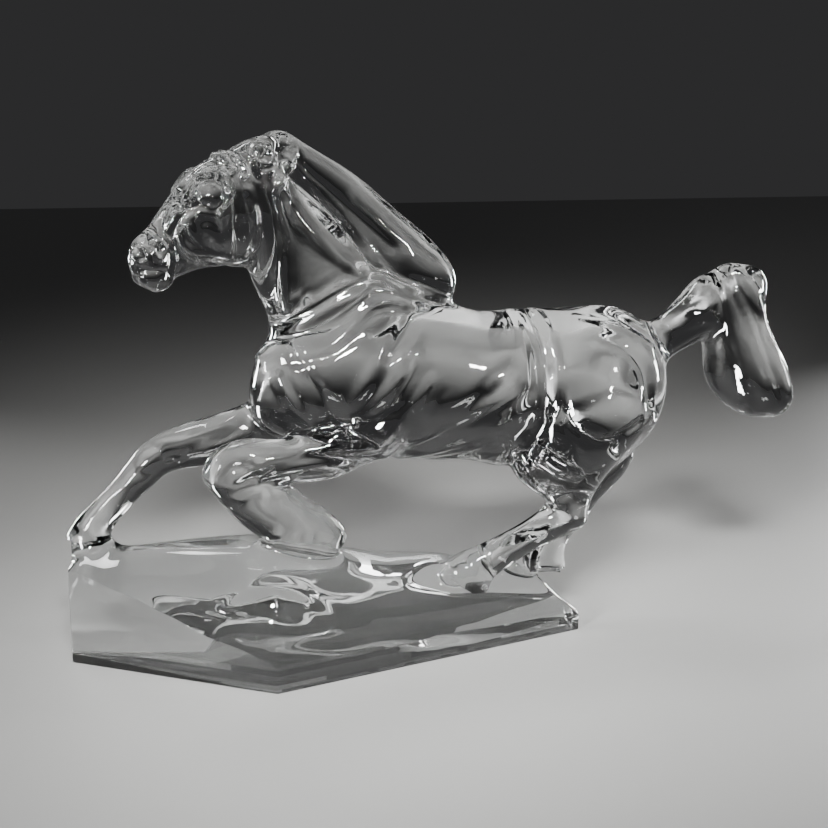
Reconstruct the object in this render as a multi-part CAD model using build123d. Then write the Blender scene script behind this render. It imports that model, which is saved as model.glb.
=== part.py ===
"""A galloping horse in clear crystal on a cut and polished plinth.

The real figure is one casting of glass.  It is modelled as its named regions, each a closed
solid that meets its neighbours face to face, so that a region can be swapped or reworked.

Frame: millimetres, +Z up, origin at the centre of the plinth's underside.
The horse gallops towards -X, and its left side faces -Y.
"""
from build123d import *
from dataclasses import dataclass
from math import cos, radians, sin
import os

# ---------------------------------------------------------------- plinth sizes
PLINTH_LENGTH = 175.0        # over the two end corners
PLINTH_DEPTH = 84.0          # over the two side corners
END_FACE = 24.0              # width of the short cut face at each end
CORNER_OFFSET = 24.0         # how far each side corner stands from the middle, along the plinth
END_TAPER = 4.5              # how far each end face slants in towards its far corner
HEAD_END_WALL = 34.0         # height of the cut wall at the head end
SIDE_CORNER_WALL = 12.5      # height of the cut wall at the side corners
TAIL_END_WALL = 9.0          # height of the cut wall at the tail end
CREST_HEAD = 37.0            # height of the ground's crest at the head end
CREST_MIDDLE = 40.5          # height of the crest under the folded foreleg
CREST_BELLY = 30.0           # height of the crest under the belly
CREST_TAIL = 20.5            # height of the crest at the tail end
CREST_Y = -2.0               # where the crest runs along the plinth, across it
CREST_INSET = 9.0            # but it stays at least this far inside the near wall
CREST_MIDDLE_X = -27.0       # where the crest stands highest
CREST_BELLY_X = 27.0         # where the crest has fallen to its belly height
SLOPE_SHAPE = 0.68           # share of the rise that the slope has made half way up
GROUND_MARGIN = 8.0          # how far the ground's surface is drawn past the cut walls
GROUND_STATIONS = 17         # outlines that the ground's surface passes through

# ---------------------------------------------------------------- horse sizes
BODY_HEIGHT = 90.0           # height of the trunk's axis above the plinth's underside
GIRTH_DEPTH = 54.0           # trunk from withers to breastbone
TRUNK_WIDTH = 39.0           # trunk across the ribs
CROUP_DEPTH = 62.0           # hindquarters from croup to thigh
CROUP_WIDTH = 42.0           # across the haunches
SHOULDER_X = 6.5             # middle of the shoulder
TRUNK_LENGTH = 84.0          # from the middle of the shoulder to the middle of the haunch
HEAD_TURN = 25.0             # degrees that the head is turned to the horse's left
LEG_SPREAD = 12.0            # each leg's distance from the horse's middle plane
KNEE_DROP = 25.0             # how far the leading knee hangs below the trunk's axis
HOCK_DROP = 45.5             # how far the near hock hangs below the trunk's axis
FORE_CANNON = 11.0           # thickness of the forelegs below the knee
HIND_CANNON = 11.0           # thickness of the hind legs below the hock
NECK_WIDTH = 22.0            # across the neck's middle
MANE_WIDTH = 17.0            # across the mane's thickest lock
TAIL_WIDTH = 18.0            # across the tail's brush

HAUNCH_X = SHOULDER_X + TRUNK_LENGTH


@dataclass
class Section:
    """One oval cross-section: its centre, half its height, half its width.

    lean is the angle of its tall axis from the +X direction, in degrees, or None to stand it
    square to the path.  turn swings the whole section about a vertical axis, in degrees.
    """

    x: float
    y: float
    z: float
    high: float
    wide: float
    lean: float = None
    turn: float = 0.0


def oval(section, before, after):
    """The flat oval face of a section, square to the path from before to after if it has no lean."""
    path = Vector(after.x - before.x, after.y - before.y, after.z - before.z).normalized()
    if section.lean is None:
        across = Vector(0, 1, 0)
        across = (across - path * across.dot(path)).normalized()
        tall = across.cross(path)
    else:
        lean, turn = radians(section.lean), radians(section.turn)
        tall = Vector(cos(lean) * cos(turn), cos(lean) * sin(turn), sin(lean))
        across = Vector(-sin(turn), cos(turn), 0)
    normal = tall.cross(across)
    plane = Plane(origin=(section.x, section.y, section.z), x_dir=tall, z_dir=normal)
    return plane * Ellipse(section.high, section.wide)


def form(*sections):
    """A smooth solid through the sections, in order."""
    last = len(sections) - 1
    faces = [
        oval(section, sections[max(i - 1, 0)], sections[min(i + 1, last)])
        for i, section in enumerate(sections)
    ]
    return loft([face.face() for face in faces])


def between(value, low, high):
    """value as a share of the way from low to high, held within 0 to 1."""
    return min(1.0, max(0.0, (value - low) / (high - low)))


def ease(share):
    """A share from 0 to 1 that starts and ends level."""
    return share * share * (3 - 2 * share)


# ---------------------------------------------------------------- plinth
HALF_LENGTH, HALF_DEPTH = PLINTH_LENGTH / 2, PLINTH_DEPTH / 2
HEAD_NEAR = (-HALF_LENGTH, 0.0)
SIDE_NEAR = (-CORNER_OFFSET, -HALF_DEPTH)
TAIL_NEAR = (HALF_LENGTH, -END_TAPER)
TAIL_FAR = (HALF_LENGTH - END_TAPER, END_FACE - END_TAPER)
SIDE_FAR = (CORNER_OFFSET, HALF_DEPTH)
HEAD_FAR = (-HALF_LENGTH + END_TAPER, END_FACE)


def wall_at(x, corners):
    """The wall's place and height at x, along a side through three (x, y, height) corners."""
    first, middle, last = corners
    start, end = (first, middle) if x < middle[0] else (middle, last)
    share = (x - start[0]) / (end[0] - start[0])
    return start[1] + (end[1] - start[1]) * share, start[2] + (end[2] - start[2]) * share


def crest_height(x):
    """Height of the ground's crest at x: highest under the folded foreleg, falling to the tail."""
    if x < CREST_MIDDLE_X:
        rise = ease(between(x, -HALF_LENGTH, CREST_MIDDLE_X))
        return CREST_HEAD + (CREST_MIDDLE - CREST_HEAD) * rise
    if x < CREST_BELLY_X:
        fall = ease(between(x, CREST_MIDDLE_X, CREST_BELLY_X))
        return CREST_MIDDLE + (CREST_BELLY - CREST_MIDDLE) * fall
    fall = ease(between(x, CREST_BELLY_X, HALF_LENGTH))
    return CREST_BELLY + (CREST_TAIL - CREST_BELLY) * fall


def ground_profile(x):
    """The outline across the ground at x, a little wider than the plinth is there."""
    near = [(*HEAD_NEAR, HEAD_END_WALL), (*SIDE_NEAR, SIDE_CORNER_WALL), (*TAIL_NEAR, TAIL_END_WALL)]
    far = [(*HEAD_FAR, HEAD_END_WALL), (*SIDE_FAR, SIDE_CORNER_WALL), (*TAIL_FAR, TAIL_END_WALL)]
    crest_y = max(CREST_Y, wall_at(x, near)[0] + CREST_INSET)
    crest = Vector(x, crest_y, crest_height(x))
    points = [crest]
    for corners in (near, far):
        wall = Vector(x, *wall_at(x, corners))
        rise = crest - wall
        middle = wall + Vector(0, rise.Y * 0.5, rise.Z * SLOPE_SHAPE)
        beyond = wall - Vector(0, rise.Y, rise.Z * SLOPE_SHAPE * 2) * (GROUND_MARGIN / abs(rise.Y))
        points = [beyond, wall, middle, *points] if corners is near else [*points, middle, wall, beyond]
    top = Spline(*points)
    depth = -CREST_MIDDLE
    under = Polyline(points[-1], (x, points[-1].Y, depth), (x, points[0].Y, depth), points[0])
    return make_face(top + under)


def make_plinth():
    """The cut and polished block with the modelled ground on top."""
    reach = HALF_LENGTH + GROUND_MARGIN / 2
    pitch = 2 * reach / (GROUND_STATIONS - 1)
    ground = loft([ground_profile(i * pitch - reach) for i in range(GROUND_STATIONS)])
    outline = Polyline(
        HEAD_NEAR, SIDE_NEAR, TAIL_NEAR, TAIL_FAR, SIDE_FAR, HEAD_FAR, close=True
    )
    block = extrude(make_face(outline), amount=CREST_MIDDLE * 2)
    return block & ground


# ---------------------------------------------------------------- trunk
def make_trunk():
    """Forequarters, barrel and hindquarters: one smooth form, cut across into three."""
    deep, wide = GIRTH_DEPTH / 2, TRUNK_WIDTH / 2
    croup, haunch = CROUP_DEPTH / 2, CROUP_WIDTH / 2
    z, fore, hind = BODY_HEIGHT, SHOULDER_X, HAUNCH_X
    whole = form(
        Section(fore - 33.0, 0, z - 2.0, deep * 0.12, wide * 0.2, 90),
        Section(fore - 31.0, 0, z - 1.0, deep * 0.36, wide * 0.5, 90),
        Section(fore - 26.5, 0, z + 1.5, deep * 0.58, wide * 0.74, 90),
        Section(fore - 17.0, 0, z + 3.0, deep * 0.78, wide * 0.9, 90),
        Section(fore, 0, z + 4.0, deep * 0.95, wide, 90),
        Section(fore + 17.0, 0, z + 2.0, deep, wide, 90),
        Section(fore + 31.0, 0, z + 0.5, deep, wide, 90),
        Section(hind - 39.0, 0, z - 2.0, deep * 0.96, wide * 0.97, 90),
        Section(hind - 25.0, 0, z - 2.5, deep, wide * 0.96, 90),
        Section(hind - 11.0, 0, z - 4.5, croup * 0.93, haunch * 0.94, 90),
        Section(hind, 0, z - 5.5, croup * 0.98, haunch, 90),
        Section(hind + 11.0, 0, z - 3.5, croup * 0.87, haunch * 0.93, 90),
        Section(hind + 20.0, 0, z - 2.5, croup * 0.64, haunch * 0.72, 90),
        Section(hind + 25.0, 0, z - 1.5, croup * 0.36, haunch * 0.44, 90),
        Section(hind + 26.5, 0, z - 1.0, croup * 0.12, haunch * 0.16, 90),
    )
    shoulder_cut, flank_cut = fore + 24.0, hind - 20.0
    size = 2 * (TRUNK_LENGTH + GIRTH_DEPTH)
    ahead = Location((shoulder_cut - size / 2, 0, z)) * Box(size, size, size)
    behind = Location((flank_cut + size / 2, 0, z)) * Box(size, size, size)
    return {
        "forequarters": whole & ahead,
        "barrel": whole - ahead - behind,
        "hindquarters": whole & behind,
    }


# ---------------------------------------------------------------- neck, head and mane
def make_neck():
    """The arched neck, from the withers and breast up to the throat."""
    half = NECK_WIDTH / 2
    z, x = BODY_HEIGHT, SHOULDER_X
    return form(
        Section(x + 6.0, 0, z + 8.0, 27.0, half * 1.4, 14),
        Section(x + 3.0, 0, z + 19.0, 29.0, half * 1.4, 18),
        Section(x - 6.0, 0, z + 32.0, 23.2, half * 1.2, 31),
        Section(x - 17.0, -1.0, z + 45.0, 19.9, half, 55, HEAD_TURN * 0.2),
        Section(x - 26.0, -2.5, z + 57.0, 19.5, half * 0.86, 70, HEAD_TURN * 0.5),
        Section(x - 32.0, -5.0, z + 63.0, 17.0, half * 0.75, 80, HEAD_TURN * 0.8),
    )


def on_face(along, rise, side=0.0):
    """A point of the head: along the face from the poll to the nose, rise above it, side to the left."""
    turn, x, y, z = radians(HEAD_TURN), SHOULDER_X - 26.0, -3.0, BODY_HEIGHT + 75.0
    ahead = (-cos(turn), -sin(turn))
    left = (sin(turn), -cos(turn))
    return (
        x + ahead[0] * along + left[0] * side,
        y + ahead[1] * along + left[1] * side,
        z + rise,
    )


def head_section(along, rise, high, wide, lean):
    """A cross-section of the turned head."""
    return Section(*on_face(along, rise), high, wide, lean, HEAD_TURN)


def make_head():
    """The head from the poll to the nose bridge."""
    return form(
        head_section(-2.0, -3.0, 8.0, 6.5, 100),
        head_section(3.0, -8.5, 13.6, 8.5, 102),
        head_section(9.0, -14.5, 18.6, 9.6, 104),
        head_section(18.0, -16.5, 17.6, 9.4, 106),
        head_section(29.0, -20.0, 13.6, 7.4, 106),
        head_section(36.0, -25.0, 10.4, 6.0, 107),
        head_section(41.0, -28.5, 8.6, 5.8, 107),
    )


def make_muzzle():
    """The swollen nose with its nostrils, lips and chin."""
    nose = form(
        head_section(35.0, -25.5, 6.4, 3.6, 107),
        head_section(39.0, -28.0, 9.2, 6.4, 107),
        head_section(42.5, -29.5, 9.2, 7.2, 106),
        head_section(45.5, -30.2, 7.8, 6.6, 104),
        head_section(47.8, -30.4, 5.0, 4.8, 102),
        head_section(49.0, -30.4, 2.0, 2.2, 102),
    )
    chin = form(
        Section(*on_face(36.0, -32.0), 3.0, 3.2, 60, HEAD_TURN),
        Section(*on_face(38.5, -36.0), 4.0, 4.4, 60, HEAD_TURN),
        Section(*on_face(40.5, -38.5), 3.2, 3.6, 60, HEAD_TURN),
        Section(*on_face(41.4, -39.8), 1.3, 1.7, 60, HEAD_TURN),
    )
    return nose + chin


def make_ear(side):
    """An ear laid back against the poll. side is 1 for the left and -1 for the right."""
    lean, turn = 35.0, HEAD_TURN + side * 18.0
    return form(
        Section(*on_face(7.5, -12.0, side * 4.6), 2.8, 2.8, lean, turn),
        Section(*on_face(4.5, -9.6, side * 6.2), 3.6, 3.3, lean, turn),
        Section(*on_face(1.5, -6.5, side * 7.6), 4.2, 3.6, lean, turn),
        Section(*on_face(-2.0, -1.5, side * 8.8), 3.8, 3.0, lean, turn),
        Section(*on_face(-5.0, 2.5, side * 8.8), 2.4, 1.9, lean, turn),
        Section(*on_face(-6.4, 4.4, side * 8.6), 1.0, 0.9, lean, turn),
    )


def make_forelock():
    """The lock of hair that lies between the ears and down the brow."""
    return form(
        Section(*on_face(-3.0, 2.6), 4.4, 4.6, 100, HEAD_TURN),
        Section(*on_face(4.0, 3.0), 4.4, 5.4, 112, HEAD_TURN),
        Section(*on_face(11.0, 0.6), 4.0, 5.0, 122, HEAD_TURN),
        Section(*on_face(18.0, -2.8), 2.8, 3.8, 125, HEAD_TURN),
        Section(*on_face(22.5, -6.2), 1.2, 2.0, 125, HEAD_TURN),
    )


def make_mane():
    """The mane: one heavy smooth lock that streams back from the poll over the withers."""
    half, x, z = MANE_WIDTH / 2, SHOULDER_X, BODY_HEIGHT
    return form(
        Section(*on_face(6.0, 0.5), 3.0, half * 0.45, 104, HEAD_TURN),
        Section(*on_face(1.0, 3.2), 4.4, half * 0.58, 96, HEAD_TURN * 0.8),
        Section(x - 23.0, -1.0, z + 79.2, 5.5, half * 0.66, 82, HEAD_TURN * 0.4),
        Section(x - 16.5, 0, z + 75.0, 6.2, half * 0.78, 68),
        Section(x - 2.0, 0, z + 64.0, 7.8, half * 0.92, 58),
        Section(x + 10.5, 0, z + 50.0, 10.4, half, 52),
        Section(x + 20.0, 0, z + 40.5, 11.6, half * 1.04, 50),
        Section(x + 28.0, 0, z + 33.5, 10.4, half * 0.95, 54),
        Section(x + 33.0, 0, z + 30.5, 7.2, half * 0.7, 60),
        Section(x + 35.2, 0, z + 29.5, 3.0, half * 0.3, 62),
    )


# ---------------------------------------------------------------- tail
TAIL_ROOT_X = HAUNCH_X + 20.0
TAIL_ROOT_Z = BODY_HEIGHT + 11.0


def make_tail_dock():
    """The stem of the tail, carried up and back from the croup."""
    half, x, z = TAIL_WIDTH / 2, TAIL_ROOT_X, TAIL_ROOT_Z
    return form(
        Section(x - 7.0, 0, z - 3.5, 9.5, half * 0.95, 118),
        Section(x + 2.0, 0, z - 0.5, 8.2, half * 0.85, 112),
        Section(x + 12.0, 1.5, z + 4.8, 8.0, half * 0.8, 108),
        Section(x + 20.0, 3.5, z + 10.0, 10.2, half * 0.86, 106),
        Section(x + 28.0, 5.0, z + 14.5, 9.0, half * 0.85, 118),
    )


def make_tail_brush():
    """The hair of the tail: it turns over at the top and hangs as a flattened drop."""
    half, x, z = TAIL_WIDTH / 2, TAIL_ROOT_X, TAIL_ROOT_Z
    return form(
        Section(x + 37.5, 5.0, z + 26.0, 3.8, half * 0.35, 172),
        Section(x + 36.0, 5.0, z + 23.6, 9.4, half * 0.66, 174),
        Section(x + 34.8, 5.5, z + 18.5, 12.0, half * 0.86, 176),
        Section(x + 34.2, 6.0, z + 9.5, 12.3, half * 0.95, 178),
        Section(x + 38.0, 6.5, z - 3.0, 14.0, half, 179),
        Section(x + 41.5, 7.0, z - 13.5, 16.2, half, 179),
        Section(x + 45.0, 7.0, z - 22.0, 14.6, half * 0.85, 179),
        Section(x + 47.5, 7.0, z - 27.5, 10.0, half * 0.58, 178),
        Section(x + 48.5, 7.0, z - 29.6, 4.0, half * 0.24, 178),
    )


# ---------------------------------------------------------------- legs
@dataclass
class Joint:
    """A joint of a leg: its place."""

    x: float
    y: float
    z: float


def limb(start, end, *girths):
    """Sections from one joint to the next: each girth is (share of the way, high, wide, lean)."""
    return [
        Section(
            start.x + (end.x - start.x) * share,
            start.y + (end.y - start.y) * share,
            start.z + (end.z - start.z) * share,
            high,
            wide,
            lean,
        )
        for share, high, wide, lean in girths
    ]


def footing(x, y, lift):
    """A joint that stands at x, y and lift above the crest of the ground there."""
    return Joint(x, y, crest_height(x) + lift)


KNEE_RIGHT = Joint(SHOULDER_X - 65.0, LEG_SPREAD, BODY_HEIGHT - KNEE_DROP)
KNEE_LEFT = Joint(SHOULDER_X - 39.5, -LEG_SPREAD, BODY_HEIGHT - KNEE_DROP + 2.0)
HOCK_LEFT = Joint(HAUNCH_X - 9.5, -LEG_SPREAD - 1.0, BODY_HEIGHT - HOCK_DROP)
HOCK_RIGHT = Joint(HAUNCH_X + 14.0, LEG_SPREAD, BODY_HEIGHT - HOCK_DROP + 12.5)
FETLOCK_LEAD = footing(KNEE_RIGHT.x - 20.5, LEG_SPREAD, 6.0)
FETLOCK_FOLDED = footing(KNEE_LEFT.x + 20.0, -LEG_SPREAD + 4.5, 6.3)
FETLOCK_NEAR_HIND = footing(HAUNCH_X - 38.5, -LEG_SPREAD + 3.5, 2.4)
FETLOCK_FAR_HIND = footing(HAUNCH_X - 5.0, LEG_SPREAD, 13.8)


def make_right_forearm():
    """The leading foreleg from the chest to the knee."""
    x, y, z, knee = SHOULDER_X, LEG_SPREAD, BODY_HEIGHT, KNEE_RIGHT
    return form(
        Section(x - 16.0, y - 4.0, z - 11.0, 11.0, 9.0, 84),
        Section(x - 31.0, y - 2.5, z - 14.5, 9.6, 8.0, 86),
        Section(x - 44.0, y - 1.0, z - 18.5, 8.8, 7.0, 84),
        Section(knee.x + 9.0, y, knee.z + 4.0, 7.6, 6.4, 92),
        Section(knee.x, y, knee.z, 6.8, 6.2, 118),
    )


def make_right_fore_cannon():
    """The leading foreleg from the knee to the fetlock."""
    half = FORE_CANNON / 2
    return form(
        *limb(
            KNEE_RIGHT,
            FETLOCK_LEAD,
            (0.0, 6.8, 6.2, 118),
            (0.24, half * 1.12, half * 1.02, 121),
            (0.52, half, half * 0.9, 123),
            (0.84, half * 1.05, half * 0.96, 134),
            (1.0, half * 1.16, half * 1.05, 150),
        )
    )


def make_right_fore_hoof():
    """The leading hoof, which spreads on the ground at the head end."""
    half, x, y, z = FORE_CANNON / 2, FETLOCK_LEAD.x, FETLOCK_LEAD.y, FETLOCK_LEAD.z
    return form(
        Section(x, y, z, half * 1.16, half * 1.05, 150),
        Section(x - 1.0, y, z - 3.0, half * 1.35, half * 1.2, 165),
        Section(x - 0.5, y, z - 6.5, half * 1.75, half * 1.35, 176),
        Section(x + 1.0, y, z - 10.0, half * 1.7, half * 1.35, 176),
        Section(x + 2.5, y, z - 13.5, half * 1.5, half * 1.2, 176),
    )


def make_left_forearm():
    """The folded foreleg from the elbow to the knee."""
    x, y, z, knee = SHOULDER_X, -LEG_SPREAD, BODY_HEIGHT, KNEE_LEFT
    return form(
        Section(x + 19.0, y + 3.0, z - 7.0, 12.0, 8.0, 60),
        Section(x + 10.0, y - 0.5, z - 12.5, 10.4, 8.0, 80),
        Section(x - 5.0, y - 2.0, z - 18.0, 8.9, 7.6, 92),
        Section(x - 18.0, y - 2.5, z - 20.8, 7.6, 7.0, 92),
        Section(knee.x + 5.0, y - 2.5, knee.z + 2.0, 8.2, 6.8, 86),
        Section(knee.x - 4.0, y - 2.0, knee.z, 8.0, 6.2, 96),
        Section(knee.x - 8.5, y - 2.0, knee.z - 2.0, 5.4, 4.4, 104),
        Section(knee.x - 10.5, y - 2.0, knee.z - 3.0, 2.0, 1.8, 106),
    )


def make_left_fore_cannon():
    """The folded foreleg below the knee, tucked back beneath the forearm."""
    half = FORE_CANNON / 2
    heel = Joint(KNEE_LEFT.x - 3.0, KNEE_LEFT.y - 1.0, KNEE_LEFT.z - 2.0)
    return form(
        *limb(
            heel,
            FETLOCK_FOLDED,
            (0.0, half * 1.5, half * 1.05, 14),
            (0.26, half * 1.8, half * 1.1, 20),
            (0.5, half * 1.95, half * 1.15, 32),
            (0.76, half * 1.9, half * 1.2, 46),
            (1.0, half * 1.8, half * 1.25, 60),
        )
    )


def make_left_fore_hoof():
    """The folded leg's hoof, resting on the crest with the sole to the rear."""
    half, x, y, z = FORE_CANNON / 2, FETLOCK_FOLDED.x, FETLOCK_FOLDED.y, FETLOCK_FOLDED.z
    return form(
        Section(x, y, z, half * 1.8, half * 1.25, 60),
        Section(x + 4.0, y + 0.5, z - 2.0, half * 1.8, half * 1.3, 60),
        Section(x + 9.0, y + 1.0, z - 4.7, half * 1.5, half * 1.25, 50),
        Section(x + 13.0, y + 1.0, z - 7.2, half * 1.1, half, 42),
        Section(x + 15.0, y + 1.0, z - 8.7, half * 0.5, half * 0.5, 38),
    )


def make_left_thigh():
    """The near thigh and gaskin, down to the hock."""
    x, y, z, hock = HAUNCH_X, -LEG_SPREAD, BODY_HEIGHT, HOCK_LEFT
    return form(
        Section(x + 2.0, y + 6.0, z + 4.0, 17.0, 9.0, 174),
        Section(x, y + 2.0, z - 3.0, 20.0, 12.0, 174),
        Section(x - 5.0, y, z - 16.0, 20.6, 11.4, 176),
        Section(x - 12.5, y - 1.0, z - 27.0, 18.6, 9.4, 178),
        Section(hock.x - 5.0, hock.y, hock.z + 10.5, 13.4, 7.8, 170),
        Section(hock.x - 3.0, hock.y, hock.z + 4.5, 9.6, 6.6, 158),
        Section(hock.x, hock.y, hock.z, 7.6, 5.8, 148),
    )


def make_left_hind_cannon():
    """The near hind leg from the hock to the fetlock, reaching forward under the belly."""
    half = HIND_CANNON / 2
    heel = Joint(HOCK_LEFT.x + 4.0, HOCK_LEFT.y, HOCK_LEFT.z + 3.5)
    return form(
        *limb(
            heel,
            FETLOCK_NEAR_HIND,
            (0.0, half * 0.8, half * 0.7, 112),
            (0.12, half * 1.25, half * 1.05, 124),
            (0.36, half * 1.12, half * 1.02, 118),
            (0.62, half, half * 0.95, 120),
            (0.87, half * 1.08, half * 1.0, 124),
            (1.0, half * 1.25, half * 1.1, 132),
        )
    )


def make_left_hind_hoof():
    """The near hind hoof, set in the slope of the ground."""
    half, x, y, z = HIND_CANNON / 2, FETLOCK_NEAR_HIND.x, FETLOCK_NEAR_HIND.y, FETLOCK_NEAR_HIND.z
    return form(
        Section(x, y, z, half * 1.25, half * 1.1, 132),
        Section(x - 4.0, y + 0.5, z - 1.6, half * 1.4, half * 1.2, 146),
        Section(x - 6.0, y + 0.5, z - 4.3, half * 1.6, half * 1.3, 160),
        Section(x - 5.5, y + 0.5, z - 8.3, half * 1.45, half * 1.2, 172),
        Section(x - 4.5, y + 0.5, z - 12.3, half * 1.2, half, 176),
    )


def make_right_thigh():
    """The far thigh and gaskin, down to the point of the hock."""
    x, y, z, hock = HAUNCH_X, LEG_SPREAD, BODY_HEIGHT, HOCK_RIGHT
    return form(
        Section(x + 2.0, y - 6.0, z + 4.0, 17.0, 9.0, 174),
        Section(x, y - 2.0, z - 3.0, 20.0, 12.0, 174),
        Section(x + 2.5, y, z - 14.0, 17.0, 10.0, 170),
        Section(hock.x - 5.0, y, hock.z + 10.5, 12.4, 8.0, 158),
        Section(hock.x + 0.5, y, hock.z + 5.0, 8.8, 6.4, 146),
        Section(hock.x + 4.5, y, hock.z + 2.0, 4.8, 4.2, 140),
        Section(hock.x + 6.0, y, hock.z + 0.8, 1.8, 1.8, 140),
    )


def make_right_hind_cannon():
    """The far hind leg from the hock down to the fetlock."""
    half, hock = HIND_CANNON / 2, HOCK_RIGHT
    return form(
        Section(hock.x - 1.5, hock.y, hock.z + 9.0, half * 0.55, half * 0.5, 150),
        *limb(
            hock,
            FETLOCK_FAR_HIND,
            (0.0, half * 1.15, half * 0.95, 152),
            (0.38, half * 1.1, half * 0.92, 154),
            (0.74, half * 1.05, half * 0.9, 152),
            (1.0, half * 1.2, half, 156),
        ),
    )


def make_right_hind_hoof():
    """The far hind pastern and hoof, standing on the tail end of the ground."""
    half, x, y, z = HIND_CANNON / 2, FETLOCK_FAR_HIND.x, FETLOCK_FAR_HIND.y, FETLOCK_FAR_HIND.z
    return form(
        Section(x, y, z, half * 1.2, half, 156),
        Section(x - 3.0, y - 0.5, z - 4.5, half * 1.05, half * 0.9, 170),
        Section(x - 5.5, y - 1.0, z - 10.5, half * 1.1, half * 0.95, 178),
        Section(x - 7.0, y - 1.5, z - 18.5, half * 1.4, half * 1.2, 178),
    )


def make_heel_web():
    """The thin fin of glass that ties the hind legs to the tail end of the ground."""
    half, x, y, z = HIND_CANNON / 2, FETLOCK_FAR_HIND.x, FETLOCK_FAR_HIND.y, FETLOCK_FAR_HIND.z
    return form(
        Section(x - 7.5, y - 5.0, z + 4.5, 3.0, half * 0.4, 180),
        Section(x - 9.5, y - 6.0, z - 0.5, 7.0, half * 0.5, 180),
        Section(x - 12.0, y - 7.0, z - 7.5, 11.0, half * 0.6, 180),
        Section(x - 14.0, y - 8.0, z - 14.5, 14.0, half * 0.7, 180),
        Section(x - 14.0, y - 8.0, z - 20.5, 14.0, half * 0.7, 180),
    )


# ---------------------------------------------------------------- assembly
def largest(shape):
    """The biggest solid of a shape, which drops any sliver that a cut leaves."""
    return max(shape.solids(), key=lambda solid: solid.volume)


def assemble():
    """Every region by name. Each gives way to those before it, so that none overlap."""
    regions = {"plinth": make_plinth(), **make_trunk()}
    makers = {
        "neck": make_neck,
        "mane": make_mane,
        "forelock": make_forelock,
        "left_ear": lambda: make_ear(1),
        "right_ear": lambda: make_ear(-1),
        "head": make_head,
        "muzzle": make_muzzle,
        "tail_dock": make_tail_dock,
        "tail_brush": make_tail_brush,
        "left_thigh": make_left_thigh,
        "right_thigh": make_right_thigh,
        "left_hind_cannon": make_left_hind_cannon,
        "right_hind_cannon": make_right_hind_cannon,
        "left_hind_hoof": make_left_hind_hoof,
        "right_hind_hoof": make_right_hind_hoof,
        "heel_web": make_heel_web,
        "left_forearm": make_left_forearm,
        "right_forearm": make_right_forearm,
        "left_fore_cannon": make_left_fore_cannon,
        "right_fore_cannon": make_right_fore_cannon,
        "left_fore_hoof": make_left_fore_hoof,
        "right_fore_hoof": make_right_fore_hoof,
    }
    for name, maker in makers.items():
        shape = maker()
        box = shape.bounding_box()
        for other in regions.values():
            if box.overlaps(other.bounding_box()):
                shape = shape - other
        regions[name] = largest(shape)
    return regions


if __name__ == "__main__":
    os.makedirs("parts", exist_ok=True)
    for name, solid in assemble().items():
        export_step(solid, f"parts/{name}.step")
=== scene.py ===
"""A galloping horse of clear crystal on a cut and polished plinth.

The glass is one casting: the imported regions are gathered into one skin, their joins are melted
into fillets, the modelling is worked in, and the plinth is cut last, as it is in the workshop.
"""
from math import atan2, radians

import bmesh
import bpy
import numpy as np
from bpy.props import FloatProperty, FloatVectorProperty, IntProperty, PointerProperty
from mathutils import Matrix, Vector
from mathutils.bvhtree import BVHTree


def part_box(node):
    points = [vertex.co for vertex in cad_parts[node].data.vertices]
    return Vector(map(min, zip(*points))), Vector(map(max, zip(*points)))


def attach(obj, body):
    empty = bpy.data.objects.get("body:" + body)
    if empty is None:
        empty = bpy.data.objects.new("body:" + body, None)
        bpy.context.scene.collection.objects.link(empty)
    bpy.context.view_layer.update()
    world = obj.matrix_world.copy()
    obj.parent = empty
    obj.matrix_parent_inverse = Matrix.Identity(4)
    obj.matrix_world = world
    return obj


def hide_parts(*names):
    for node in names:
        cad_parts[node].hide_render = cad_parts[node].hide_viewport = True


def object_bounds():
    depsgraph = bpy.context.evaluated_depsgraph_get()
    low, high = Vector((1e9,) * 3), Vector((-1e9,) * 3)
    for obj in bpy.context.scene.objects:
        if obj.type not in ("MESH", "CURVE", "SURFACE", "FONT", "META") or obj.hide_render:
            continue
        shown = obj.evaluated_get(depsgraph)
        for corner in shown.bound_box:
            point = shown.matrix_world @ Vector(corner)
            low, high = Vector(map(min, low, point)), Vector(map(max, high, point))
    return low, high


bl_info = {
    "name": "Crystal Horse",
    "version": (1, 0, 0),
    "blender": (4, 5, 0),
    "location": "3D View > Sidebar > Crystal Horse",
    "description": "Builds a galloping horse of clear crystal on a polished plinth",
    "category": "Add Mesh",
}

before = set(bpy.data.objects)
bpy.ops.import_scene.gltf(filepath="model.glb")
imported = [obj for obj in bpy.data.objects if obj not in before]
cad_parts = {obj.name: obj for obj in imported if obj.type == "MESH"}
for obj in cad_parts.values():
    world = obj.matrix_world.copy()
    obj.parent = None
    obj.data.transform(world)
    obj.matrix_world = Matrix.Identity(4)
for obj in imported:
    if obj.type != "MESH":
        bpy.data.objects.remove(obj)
CAD_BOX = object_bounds()
MM = 0.001
PIECE = "crystal_horse"


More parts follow.
